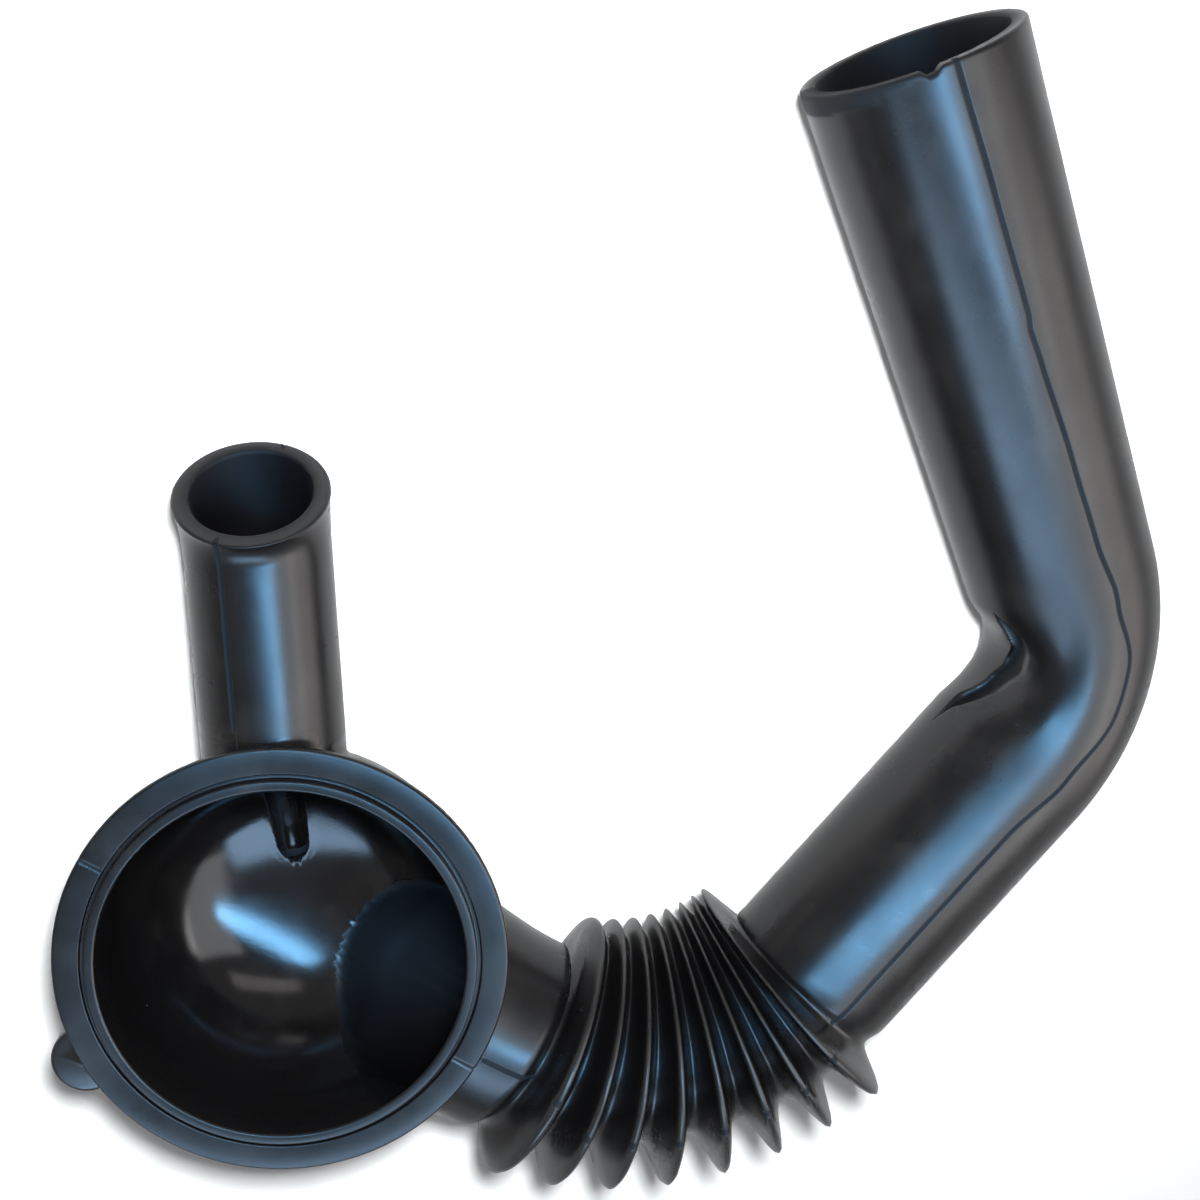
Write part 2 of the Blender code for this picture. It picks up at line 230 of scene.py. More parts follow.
class SpoutSizes(bpy.types.PropertyGroup):
    outside: length("Spout diameter", 0.0292, "Outside diameter of the spout")
    mouth_outside: length("Spout mouth", 0.0310, "Outside diameter of the spout's mouth")
    wall: length("Spout wall", 0.0034, "Wall thickness of the spout")
    depth: length("Spout depth", 0.0172, "Depth of the spout's centreline below the face")
    azimuth: number("Spout direction", 92.2, "Direction of the spout, in degrees")
    length: length("Spout length", 0.0800, "Length of the straight spout from the bowl's axis")
    bend_radius: length("Spout bend radius", 0.0240, "Radius of the bend at the mouth")
    bend: number("Spout bend", 33.0, "Angle by which the mouth turns up, in degrees")


class RubberLook(bpy.types.PropertyGroup):
    base: colour("Rubber", (0.0030, 0.0030, 0.0034), "Colour of clean black rubber")
    # The dust colour also lightens the folds' crests as a painted highlight
    dust: colour("Dust", (0.30, 0.29, 0.28), "Colour of the dust and bloom on the rubber")
    # This colour darkens the seams' grooves, the elbow's fold, the torn place and the bores as painted
    # shade, and also the band along the mouth's edge
    dark: colour("Seam", (0.0015, 0.0015, 0.0020), "Colour inside the seams and creases")
    roughness: share("Roughness", 0.30, "Roughness of clean rubber")


class StageLook(bpy.types.PropertyGroup):
    floor: colour("Floor", (0.86, 0.86, 0.86), "Colour of the floor")
    mirrored_floor: colour("Mirrored floor", (0.42, 0.42, 0.42), "Colour of the floor seen in the rubber")
    window: colour("Window light", (0.42, 0.68, 1.0), "Tint of the long light high at the back")
    window_glare: number("Window glare", 7.5, "Brightness of the window light")
    bar: colour("Bar light", (0.22, 0.58, 1.0), "Tint of the narrow bar overhead")
    bar_glare: number("Bar glare", 32.0, "Brightness of the bar overhead")
    shadow_glare: number("Shadow glare", 860.0, "Brightness of the light that casts the shadow")
    sky: colour("Sky light", (0.96, 0.98, 1.0), "Tint of the broad light on the right and of the shadow's")
    sky_glare: number("Sky glare", 2.2, "Brightness of the broad light on the right")
    side: colour("Side light", (1.0, 0.93, 0.90), "Tint of the lights from the far right and the front")
    side_glare: number("Side glare", 2.2, "Brightness of the light from the far right")
    fill: number("Fill", 0.11, "Strength of the soft light that falls on the floor")
    back_glare: number("Back glare", 1.4, "Brightness of the light behind the photographer")
    surround: number("Surround", 1.0, "Strength of the white backdrop low down")
    ceiling: number("Ceiling", 0.22, "Strength of the dark room overhead")
    glow: number("Floor glow", 0.11, "How white the floor shows by itself")
    near: length("Shadow reach", 0.22, "Distance from which the floor turns plain white")
    far: length("White from", 0.70, "Distance at which the floor is plain white")
    mirrored_glow: number("Mirrored glow", 0.12, "How white the floor shows by itself in the rubber")


GROUPS = {
    "hose_bowl": BowlSizes,
    "hose_pipe": PipeSizes,
    "hose_bellows": BellowsSizes,
    "hose_spout": SpoutSizes,
    "hose_rubber": RubberLook,
    "hose_stage": StageLook,
}


def heading(azimuth, rise):
    """Direction with an azimuth and a rise in degrees."""
    around = radians(azimuth)
    lift = radians(rise)
    return Vector((cos(lift) * cos(around), cos(lift) * sin(around), sin(lift)))


def ring_axes(direction):
    """The level direction across a run, and the one across both."""
    across = direction.cross(Vector((0, 0, 1))).normalized()
    return across, across.cross(direction).normalized()


def arc_place(start, first, last, radius, angle):
    """Place and direction after an angle of a bend from one direction to another."""
    inward = (last - first * first.dot(last)).normalized()
    place = start + inward * (radius * (1 - cos(angle))) + first * (radius * sin(angle))
    return place, first * cos(angle) + inward * sin(angle)


def between(value, table):
    """Value read off a table of (position, value) pairs, eased between them."""
    if value <= table[0][0]:
        return table[0][1]
    for (low, first), (high, last) in zip(table, table[1:]):
        if value <= high:
            part = (value - low) / (high - low)
            part = part * part * (3 - 2 * part)
            return first + (last - first) * part
    return table[-1][1]


def rounded(corners, steps=4):
    """Line through (radius, height, rounding) corners, each turned by an arc."""
    line = []
    for index, (radius, height, rounding) in enumerate(corners):
        here = Vector((radius, height))
        if not rounding or index in (0, len(corners) - 1):
            line.append(here)
            continue
        before = (Vector(corners[index - 1][:2]) - here).normalized()
        after = (Vector(corners[index + 1][:2]) - here).normalized()
        half = before.angle(after) / 2
        away = rounding / tan(half)
        middle = here + (before + after).normalized() * (rounding / sin(half))
        start = here + before * away - middle
        finish = here + after * away - middle
        for step in range(steps + 1):
            line.append(middle + start.lerp(finish, step / steps).normalized() * rounding)
    return line


def columns(seams, count, width):
    """Angles of the columns round an axis, with a close trio at each seam."""
    seams = sorted(seam % (2 * pi) for seam in seams)
    away = 2.6 * width
    angles = []
    for index, seam in enumerate(seams):
        following = seams[(index + 1) % len(seams)]
        span = (following - seam) % (2 * pi) or 2 * pi
        inner = max(2, round(count * span / (2 * pi)) - 3)
        angles += [seam, seam + width]
        angles += [seam + away + (span - 2 * away) * step / inner for step in range(inner + 1)]
        angles.append(following - width if following > seam else following + 2 * pi - width)
    return angles


MARKS = ("bore", "seam_line", "fold_crest", "crease", "mouth_band", "inner_side")


def add_layers(bm):
    """Layers for the marks and for a vertex's place along and round a tube."""
    for name in MARKS + ("along", "around"):
        bm.verts.layers.float.new(name)
    bm.verts.layers.int.new("column")
    return bm


def layer(bm, name):
    return bm.verts.layers.float.get(name)


class PipeLine:
    """Straight and bent runs of the pipe, from the bowl's axis to the mouth."""

    def __init__(self, pipe, bellows):
        self.pipe = pipe
        self.bellows = bellows
        self.first = heading(pipe.neck_azimuth, 0.0)
        self.leg = heading(pipe.leg_azimuth, pipe.leg_rise)
        self.upper = heading(pipe.upper_azimuth, pipe.upper_rise)
        self.start = Vector((0, 0, -pipe.neck_depth))
        self.bend_start = self.start + self.first * pipe.neck_length
        self.bend_radius = pipe.bend_length / self.first.angle(self.leg)
        self.leg_start, _ = arc_place(self.bend_start, self.first, self.leg, self.bend_radius,
                                      self.first.angle(self.leg))
        self.elbow_start = self.leg_start + self.leg * pipe.leg_length
        self.elbow_angle = self.leg.angle(self.upper)
        self.upper_start, _ = arc_place(self.elbow_start, self.leg, self.upper, pipe.elbow_radius,
                                        self.elbow_angle)
        self.bend_inward = (self.leg - self.first * self.first.dot(self.leg)).normalized()
        self.elbow_inward = (self.upper - self.leg * self.leg.dot(self.upper)).normalized()
        self.leg_from = pipe.neck_length + pipe.bend_length
        self.elbow_from = self.leg_from + pipe.leg_length
        self.elbow_to = self.elbow_from + pipe.elbow_radius * self.elbow_angle
        self.length = self.elbow_to + pipe.upper_length
        self.folds_from = pipe.neck_length + bellows.first - bellows.pitch / 2
        self.folds_to = self.folds_from + bellows.count * bellows.pitch
        self.flank_from = self.folds_from - bellows.pitch * FLANK
        self.flank_to = self.folds_to + bellows.pitch * FLANK

    def at(self, distance):
        """Place and direction of the centreline at a distance from the bowl's axis."""
        pipe = self.pipe
        if distance < pipe.neck_length:
            return self.start + self.first * distance, self.first
        if distance < self.leg_from:
            angle = (distance - pipe.neck_length) / self.bend_radius
            return arc_place(self.bend_start, self.first, self.leg, self.bend_radius, angle)
        if distance < self.elbow_from:
            return self.leg_start + self.leg * (distance - self.leg_from), self.leg
        if distance < self.elbow_to:
            angle = (distance - self.elbow_from) / pipe.elbow_radius
            return arc_place(self.elbow_start, self.leg, self.upper, pipe.elbow_radius, angle)
        return self.upper_start + self.upper * (distance - self.elbow_to), self.upper

    def radius(self, distance):
        """Outside radius along the pipe."""
        pipe = self.pipe
        bellows = self.bellows
        valley = bellows.valley / 2
        if distance < self.flank_from:
            part = max(0.0, (distance - NECK_ROOT) / (self.flank_from - NECK_ROOT))
            return pipe.neck_outside / 2 + (pipe.neck_end / 2 - pipe.neck_outside / 2) * part
        if distance < self.folds_from:
            return between(distance, [(self.flank_from, pipe.neck_end / 2), (self.folds_from, valley)])
        if distance < self.folds_to:
            turns = (distance - pipe.neck_length - bellows.first) / bellows.pitch
            sharp = between(turns, [(0.0, bellows.first_sharpness), (0.9, bellows.sharpness)])
            wave = (0.5 + 0.5 * cos(2 * pi * turns)) ** sharp
            return valley + wave * (bellows.crest / 2 - valley)
        if distance < self.elbow_to:
            return between(distance, [(self.folds_to, valley), (self.flank_to, pipe.leg_outside / 2)])
        part = (distance - self.elbow_to) / pipe.upper_length
        return (pipe.leg_outside + (pipe.mouth_outside - pipe.leg_outside) * part) / 2

    def crest_share(self, distance):
        """0 at the bottom of a valley and 1 on top of a fold."""
        low = self.bellows.valley / 2
        return min(max((self.radius(distance) - low) / (self.bellows.crest / 2 - low), 0.0), 1.0)

    def seam(self, distance):
        """Angle of the upper mould seam round the pipe, in degrees."""
        return between(distance, SEAM_ON_PIPE)

    def lean(self, distance):
        """How far the bend's inner and upper sides lean forward along the pipe."""
        bellows = self.bellows
        if distance < self.flank_from:
            return between(distance, [(NECK_JOINT, 0.0), (self.flank_from, bellows.lean)])
        if distance > self.flank_to:
            return between(distance, [(self.flank_to, self.lean(self.flank_to)), (self.elbow_from, 0.0)])
        part = (distance - self.pipe.neck_length - bellows.first) / (bellows.count * bellows.pitch)
        return bellows.lean * (1 - bellows.lean_fall * max(part, 0.0) ** 2)

    def bend_shape(self, distance, direction, outward):
        """Moves a point of the bend: broad crests and filled valleys inside, and the lean."""
        bellows = self.bellows
        angle = min(max(distance - self.pipe.neck_length, 0.0), self.pipe.bend_length) / self.bend_radius
        inward = self.bend_inward * cos(angle) - self.first * sin(angle)
        reach = outward.dot(inward)
        move = direction * (self.lean(distance) * (1 - ((1 - reach) / 2) ** 2))
        if self.folds_from < distance < self.folds_to:
            span = (bellows.crest - bellows.valley) / 2
            height = self.crest_share(distance)
            power = between(reach, [(-0.9, 1.0), (0.0, bellows.ridge + 0.1), (1.0, bellows.ridge)])
            broad = height ** power
            move += outward * (span * (broad - height))
            if reach > 0.0:
                move += inward * (bellows.fill * (1 - broad) * reach ** 2)
        return move

    def point(self, distance, around, radius, groove=0.0):
        """Point on a ring of the pipe, the elbow's inner side pressed in."""
        centre, direction = self.at(distance)
        across, over = ring_axes(direction)
        outward = across * cos(around) + over * sin(around)
        place = centre + outward * (radius - groove)
        if NECK_JOINT < distance < self.elbow_from:
            place += self.bend_shape(distance, direction, outward)
        part = (distance - self.elbow_from) / (self.elbow_to - self.elbow_from)
        if 0.0 < part < 1.0:
            angle = part * self.elbow_angle
            inward = (self.elbow_inward * cos(angle) - self.leg * sin(angle)).normalized()
            reach = (place - centre).dot(inward)
            if reach > 0.0:
                flat = self.pipe.elbow_flat * sin(pi * part) ** 2
                place -= inward * (flat * (reach / radius) ** 2)
        return place


class SpoutLine:
    """Line of the spout from the bowl's axis to its upturned mouth."""

    def __init__(self, spout):
        self.spout = spout
        self.first = heading(spout.azimuth, 0.0)
        self.last = heading(spout.azimuth, spout.bend)
        self.start = Vector((0, 0, -spout.depth))
        self.bend_start = self.start + self.first * spout.length
        self.length = spout.length + spout.bend_radius * radians(spout.bend)

    def at(self, distance):
        """Place and direction of the centreline at a distance from the bowl's axis."""
        if distance < self.spout.length:
            return self.start + self.first * distance, self.first
        angle = (distance - self.spout.length) / self.spout.bend_radius
        angle = min(angle, radians(self.spout.bend))
        return arc_place(self.bend_start, self.first, self.last, self.spout.bend_radius, angle)

    def radius(self, distance):
        """Outside radius along the spout."""
        part = max(0.0, (distance - self.spout.length) / (self.length - self.spout.length))
        flare = (self.spout.mouth_outside - self.spout.outside) / 2
        return self.spout.outside / 2 + flare * part * part

    def seam(self, distance):
        """Angle of the upper mould seam, the same all along the spout."""
        return SPOUT_SEAM

    def point(self, distance, around, radius, groove=0.0):
        """Point on a ring of the spout."""
        centre, direction = self.at(distance)
        across, over = ring_axes(direction)
        return centre + (across * cos(around) + over * sin(around)) * (radius - groove)


def draw_ring(bm, angles):
    """Closed ring of edges, one vertex for each column."""
    ring = bmesh.ops.create_circle(bm, segments=len(angles), radius=0.01)["verts"]
    column = bm.verts.layers.int.get("column")
    for index, vert in enumerate(ring):
        vert[column] = index
    return ring


def set_ring(bm, ring, line, angles, distance, radius, seam_depth, inner, marks):
    """Puts a ring in its place on the line and writes its marks."""
    column = bm.verts.layers.int.get("column")
    seam, side, bore, along, turned = (
        layer(bm, name) for name in ("seam_line", "inner_side", "bore", "along", "around"))
    offset = radians(line.seam(distance))
    half = len(angles) // 2
    for vert in ring:
        index = vert[column]
        around = (angles[index] + offset) % (2 * pi)
        off_seam = min(index % half, -index % half)
        groove = seam_depth if off_seam == 0 else 0.0
        vert.co = line.point(distance, angles[index] + offset, radius, groove)
        vert[side] = 1.0 if inner else 0.0
        # Inner rings are marked as bore, which the material darkens as painted shade inside the tube
        vert[bore] = vert[side]
        vert[along] = distance
        vert[turned] = around
        # The seam mark darkens the seam's groove in the material: painted shade
        vert[seam] = (1.0, 0.8)[off_seam] if off_seam < 2 and seam_depth > 0.0 else 0.0
        if marks:
            marks(vert, distance, around)


def draw_tube(bm, line, angles, rings, marks=None):
    """Tube skin drawn from ring to ring with extrude; returns the first and last ring."""
    ring = draw_ring(bm, angles)
    first = ring
    for index, (distance, radius, seam_depth, inner) in enumerate(rings):
        if index:
            inside = set(ring)
            edges = list({edge for vert in ring for edge in vert.link_edges
                          if edge.other_vert(vert) in inside and len(edge.link_faces) < 2})
            made = bmesh.ops.extrude_edge_only(bm, edges=edges)["geom"]
            ring = [item for item in made if isinstance(item, bmesh.types.BMVert)]
        set_ring(bm, ring, line, angles, distance, radius, seam_depth, inner, marks)
    return first, ring


def mouth_rings(line, wall):
    """Rings over the rounded end of a tube, from its outside to its bore."""
    outer = line.radius(line.length)
    inner = outer - wall
    rings = []
    for inside in (False, True):
        for step in range(5):
            angle = (pi / 2) * step / 4
            back = MOUTH_ROUNDING * (1 - (cos(angle) if inside else sin(angle)))
            if inside:
                radius = inner + MOUTH_ROUNDING * (1 - sin(angle))
            else:
                radius = outer - MOUTH_ROUNDING * (1 - cos(angle))
            rings.append((line.length - back, radius, 0.0 if inside else SEAM_DEPTH, inside))
    return rings


def steps_between(low, high, pitch):
    """Even steps from one distance to another, about a pitch apart."""
    count = max(1, round(abs(high - low) / pitch))
    return [low + (high - low) * step / count for step in range(count + 1)]


def stops_along(*runs):
    """Steps over runs of (from, to, pitch), each of which starts where the last one ends."""
    stops = steps_between(*runs[0])
    for run in runs[1:]:
        stops += steps_between(*run)[1:]
    return stops


def closed_object(bm, name):
    """Object of a closed mesh, for the Boolean steps."""
    bmesh.ops.remove_doubles(bm, verts=bm.verts, dist=2e-6)
    bmesh.ops.recalc_face_normals(bm, faces=bm.faces)
    mesh = bpy.data.meshes.new(name)
    bm.to_mesh(mesh)
    bm.free()
    item = bpy.data.objects.new(name, mesh)
    bpy.context.scene.collection.objects.link(item)
    return item


def cap(bm, ring):
    """Closes a tube's end with one face."""
    inside = set(ring)
    edges = [edge for edge in bm.edges if edge.verts[0] in inside and edge.verts[1] in inside]
    bmesh.ops.edgeloop_fill(bm, edges=edges)


def stub(name, line, angles, start, joint, wall=0.0, dome=False):
    """Closed length of a tube up to its joint or, with a wall, of its bore and past the joint."""
    bm = add_layers(bmesh.new())
    bore = wall > 0.0
    radius = line.radius(start) - wall
    if dome:
        turns = [(pi / 2) * step / 8 for step in range(1, 9)]
        rings = [(start - radius * cos(angle), radius * sin(angle), 0.0, bore) for angle in turns]
    else:
        rings = [(start, radius, 0.0, bore)]
    if bore:
        slope = (line.radius(joint) - line.radius(start)) / (joint - start)
        end = joint + PAST_JOINT
        rings.append((end, line.radius(start) + slope * (end - start) - wall, 0.0, True))
    else:
        for distance in steps_between(start, joint, 0.0016)[1:]:
            rings.append((distance, line.radius(distance), SEAM_DEPTH, False))
    for ring in draw_tube(bm, StraightOn(line, joint), angles, rings):
        cap(bm, ring)
    return closed_object(bm, name)


class StraightOn:
    """The same line, run straight on past a distance."""

    def __init__(self, line, limit):
        self.line = line
        self.limit = limit

    def seam(self, distance):
        return self.line.seam(min(distance, self.limit))

    def point(self, distance, around, radius, groove=0.0):
        place = self.line.point(min(distance, self.limit), around, radius, groove)
        if distance > self.limit:
            place += self.line.at(self.limit)[1] * (distance - self.limit)
        return place


def bowl_side(bowl, thickness, steps=SIDE_STEPS):
    """Half section of the bowl from its floor's middle up to where its side is straight."""
    corner = bowl.corner_radius
    reach = bowl.mouth / 2 - corner
    lean = asin(reach / (bowl.floor_radius - corner))
    floor_centre = bowl.floor_radius - bowl.depth
    corner_centre = floor_centre - (bowl.floor_radius - corner) * cos(lean)
    line = []
    for step in range(steps + 1):
        angle = lean * step / steps
        radius = bowl.floor_radius + thickness
        line.append(Vector((radius * sin(angle), floor_centre - radius * cos(angle))))
    for step in range(1, steps + 1):
        angle = lean + (pi / 2 - lean) * step / steps
        radius = corner + thickness
        line.append(Vector((reach + radius * sin(angle), corner_centre - radius * cos(angle))))
    return line


def bowl_line(bowl):
    """Bowl wall in one line: pole inside, over lip, groove and rim, pole outside."""
    radius = bowl.mouth / 2
    outer = radius + bowl.wall
    rim = bowl.rim_outside / 2
    flat = bowl.flat_inside / 2
    lip = flat - bowl.groove_width
    inside = bowl_side(bowl, 0.0)
    outside = bowl_side(bowl, bowl.wall)
    corners = [
        tuple(inside[-1]) + (0.0,),
        (radius, bowl.lip_height, 0.00055),
        (lip, bowl.lip_height, 0.0004),
        (lip, -bowl.groove_depth, 0.00018),
        (flat, -bowl.groove_depth, 0.00018),
        (flat, 0.0, 0.00032),
        (rim, 0.0, 0.0006),
        (rim, -bowl.rim_edge, 0.0005),
        (outer, -bowl.rim_thickness, 0.0022),
        tuple(outside[-1]) + (0.0,),
    ]
    return inside + rounded(corners)[1:] + outside[-2::-1]


def spin_line(bm, line, angles, inner_count=0, skin_from=None):
    """Turns a line of (radius, height) about Z, a column at each angle."""
    inner_layer = layer(bm, "inner_side")
    skin_layer = bm.verts.layers.int.get("column")
    verts = [bm.verts.new((point.x, 0.0, point.y)) for point in line]
    for index, vert in enumerate(verts):
        if inner_layer:
            vert[inner_layer] = 1.0 if index < inner_count else 0.0
            vert[skin_layer] = 1 if skin_from is not None and index >= skin_from else 0
    edges = [bm.edges.new(pair) for pair in zip(verts, verts[1:])]
    geometry = verts + edges
    bmesh.ops.rotate(bm, verts=verts, cent=(0, 0, 0), matrix=Matrix.Rotation(angles[0], 3, "Z"))
    for first, second in zip(angles, angles[1:] + [angles[0] + 2 * pi]):
        made = bmesh.ops.spin(bm, geom=geometry, cent=(0, 0, 0), axis=(0, 0, 1),
                              angle=second - first, steps=1)
        geometry = made["geom_last"]
    bmesh.ops.remove_doubles(bm, verts=bm.verts, dist=2e-6)
    bmesh.ops.recalc_face_normals(bm, faces=bm.faces)


def bowl_body(bowl):
    """Bowl with its rim, groove and lip, and the seams over its outer skin."""
    bm = add_layers(bmesh.new())
    seams = [radians(azimuth) for azimuth in RIM_SEAMS]
    angles = columns(seams, 176, SEAM_COLUMN / (bowl.rim_outside / 2))
    line = bowl_line(bowl)
    flat = bowl.flat_inside / 2
    skin_from = next(index for index, point in enumerate(line)
                     if point.x >= flat - 1e-5 and point.y > -1e-5)
    spin_line(bm, line, angles, len(bowl_side(bowl, 0.0)), skin_from)
    seam_layer = layer(bm, "seam_line")
    skin_layer = bm.verts.layers.int.get("column")
    bm.normal_update()
    moves = []
    for vert in bm.verts:
        if not vert[skin_layer] or Vector((vert.co.x, vert.co.y)).length < 0.006:
            continue
        for seam in RIM_SEAMS:
            towards = heading(seam, 0.0)
            side = abs(towards.x * vert.co.y - towards.y * vert.co.x)
            if side < 1e-5 and vert.co.dot(towards) > 0.0:
                moves.append((vert, vert.normal * -SEAM_DEPTH))
    for vert, move in moves:
        vert[seam_layer] = 1.0
        vert.co += move
    return closed_object(bm, "hose_bowl")


def bowl_cutter(bowl):
    """Middle of the bowl's wall, where the neck and the spout are cut off."""
    bm = bmesh.new()
    middle = bowl.mouth / 2 + bowl.wall / 2
    line = [Vector((0.0, 0.006)), Vector((middle, 0.006))] + bowl_side(bowl, bowl.wall / 2)[::-1]
    spin_line(bm, line, [2 * pi * step / 120 for step in range(120)])
    return closed_object(bm, "bowl_cutter")


def rib_body(bowl):
    """Half round rib down the bowl's corner and along its floor, below the spout."""
    bm = add_layers(bmesh.new())
    outward = heading(bowl.rib_azimuth, 0.0)
    side = [point for point in bowl_side(bowl, 0.0009, 60)
            if point.x > bowl.rib_end and point.y < -bowl.rib_start]
    count = 24
    loops = []
    for step in range(count + 1):
        index = (len(side) - 1) * step / count
        low = min(int(index), len(side) - 2)
        here = side[low].lerp(side[low + 1], index - low)
        along = (side[low + 1] - side[low]).normalized()
        place = outward * here.x + Vector((0, 0, here.y))
        direction = outward * along.x + Vector((0, 0, along.y))
        across = direction.cross(outward.cross(Vector((0, 0, 1)))).normalized()
        aside = across.cross(direction).normalized()
        radius = bowl.rib_radius * (0.80 + 0.30 * step / count)
        end = step / 2.5
        if end < 1:
            radius *= (1 - (1 - end) ** 2) ** 0.5 if end else 0.35
        spot = Matrix.Translation(place) @ Matrix((across, aside, direction)).transposed().to_4x4()
        verts = bmesh.ops.create_circle(bm, segments=40, radius=radius, matrix=spot)["verts"]
        loops.append(list({edge for vert in verts for edge in vert.link_edges}))
    for first, second in zip(loops, loops[1:]):
        bmesh.ops.bridge_loops(bm, edges=first + second)
    for end in (loops[0], loops[-1]):
        bmesh.ops.edgeloop_fill(bm, edges=end)
    return closed_object(bm, "bowl_rib")


def lug_body(bowl):
    """Round lug under the rim, with rounded edges."""
    bm = add_layers(bmesh.new())
    middle = heading(bowl.lug_azimuth, 0.0) * (bowl.lug_reach - bowl.lug_radius)
    middle.z = -(bowl.lug_top + bowl.lug_bottom) / 2
    bmesh.ops.create_cone(bm, cap_ends=True, segments=40, radius1=bowl.lug_radius, radius2=bowl.lug_radius,
                          depth=bowl.lug_bottom - bowl.lug_top, matrix=Matrix.Translation(middle))
    rims = [edge for edge in bm.edges if len(edge.link_faces) == 2 and edge.calc_face_angle(0.0) > 1.0]
    bmesh.ops.bevel(bm, geom=rims, offset=0.0008, segments=3, affect="EDGES", profile=0.5, material=-1)
    return closed_object(bm, "hose_lug")


def combine(target, operand, operation):
    """Adds a Boolean modifier to the target."""
    modifier = target.modifiers.new(operand.name, "BOOLEAN")
    modifier.operation = operation
    modifier.solver = "EXACT"
    modifier.object = operand


def settled_mesh(item):
    """Mesh of an object with its modifiers applied."""
    graph = bpy.context.evaluated_depsgraph_get()
    graph.update()
    return bpy.data.meshes.new_from_object(item.evaluated_get(graph), depsgraph=graph)


def open_joint(bm, centre, direction, reach):
    """Takes away the flat ring that closed a stub at its joint."""
    flat = []
    for face in bm.faces:
        if all(abs((vert.co - centre).dot(direction)) < 2e-6 and (vert.co - centre).length < reach
               for vert in face.verts):
            flat.append(face)
    bmesh.ops.delete(bm, geom=flat, context="FACES")


def mark_bores(bm, runs):
    """Marks the bores of the neck, with its round start, and of the spout, for painted shade inside them.
    """
    bore = layer(bm, "bore")
    for vert in bm.verts:
        for line, start, wall in runs:
            middle, direction = line.at(start)
            past = (vert.co - middle).dot(direction)
            aside = (vert.co - middle - direction * max(past, 0.0)).length
            if aside < line.radius(start + max(past, 0.0)) - wall + BORE_EDGE:
                vert[bore] = 1.0


def soften_junctions(bm, bowl):
    """Rounds the creases where the neck, spout, lug and rib meet the bowl."""
    below = -bowl.rim_thickness * 0.9
    creased = [edge for edge in bm.edges if len(edge.link_faces) == 2
               and edge.calc_face_angle(0.0) > radians(SOFT_ANGLE)
               and max(vert.co.z for vert in edge.verts) < below]
    tree = KDTree(len(creased) * 2)
    for index, edge in enumerate(creased):
        tree.insert(edge.verts[0].co, 2 * index)
        tree.insert(edge.verts[1].co, 2 * index + 1)
    tree.balance()
    near = [vert for vert in bm.verts if not vert.is_boundary and tree.find(vert.co)[2] < SOFT_REACH]
    for _ in range(SOFT_ROUNDS):
        bmesh.ops.smooth_vert(bm, verts=near, factor=0.5, use_axis_x=True, use_axis_y=True, use_axis_z=True)


def hose_core(bowl, pipe, spout, pipe_line, spout_line, ring_angles, spout_angles):
    """Bowl with the roots of the neck and of the spout, the lug and the rib."""
    body = bowl_body(bowl)
    cutter = bowl_cutter(bowl)
    neck = stub("neck_root", pipe_line, ring_angles, NECK_ROOT, NECK_JOINT, dome=True)
    neck_bore = stub("neck_bore", pipe_line, ring_angles, NECK_ROOT, NECK_JOINT, pipe.wall, dome=True)
    root = stub("spout_root", spout_line, spout_angles, SPOUT_ROOT, SPOUT_JOINT)
    bore = stub("spout_bore", spout_line, spout_angles, SPOUT_BORE, SPOUT_JOINT, spout.wall)
    lug = lug_body(bowl)
    rib = rib_body(bowl)
    for piece in (neck, root, lug):
        combine(piece, cutter, "DIFFERENCE")
        combine(body, piece, "UNION")
    combine(body, neck_bore, "DIFFERENCE")
    combine(body, bore, "DIFFERENCE")
    combine(rib, cutter, "INTERSECT")
    combine(body, rib, "UNION")
    mesh = settled_mesh(body)
    for piece in (body, cutter, neck, neck_bore, root, bore, lug, rib):
        bpy.data.objects.remove(piece, do_unlink=True)
    return mesh


def pipe_rings(line, pipe, bellows):
    """Rings of the pipe from its joint over the mouth and back down the bore."""
    mouth = line.length - 0.0060
    stops = stops_along(
        (NECK_JOINT, line.flank_from, 0.0010),
        (line.flank_from, line.folds_from, 0.0007),
        (line.folds_from, line.folds_to, bellows.pitch / 16),
        (line.folds_to, line.flank_to, 0.0007),
        (line.flank_to, line.elbow_from, 0.0028),
        (line.elbow_from, line.elbow_to, 0.0009),
        (line.elbow_to, mouth, 0.0030),
        (mouth, line.length - pipe.wall * 0.2, 0.0006))
    rings = []
    for stop in stops[:-1]:
        depth = SEAM_DEPTH
        if line.folds_from < stop < line.folds_to:
            depth = NICK_DEPTH if line.crest_share(stop) > NICK_FROM else 0.0
        rings.append((stop, line.radius(stop), depth, False))
    rings += mouth_rings(line, pipe.wall)
    bores = (
        (pipe.wall, stops_along(
            (line.length - 0.003, line.elbow_to, 0.0120),
            (line.elbow_to, line.elbow_from, 0.0040),
            (line.elbow_from, line.flank_to, 0.0120))),
        (bellows.wall, steps_between(line.folds_to, line.folds_from, bellows.pitch / 8)),
        (pipe.wall, steps_between(line.flank_from, NECK_JOINT, 0.0030)),
    )
    for wall, stops in bores:
        rings += [(stop, line.radius(stop) - wall, 0.0, True) for stop in stops]
    return rings


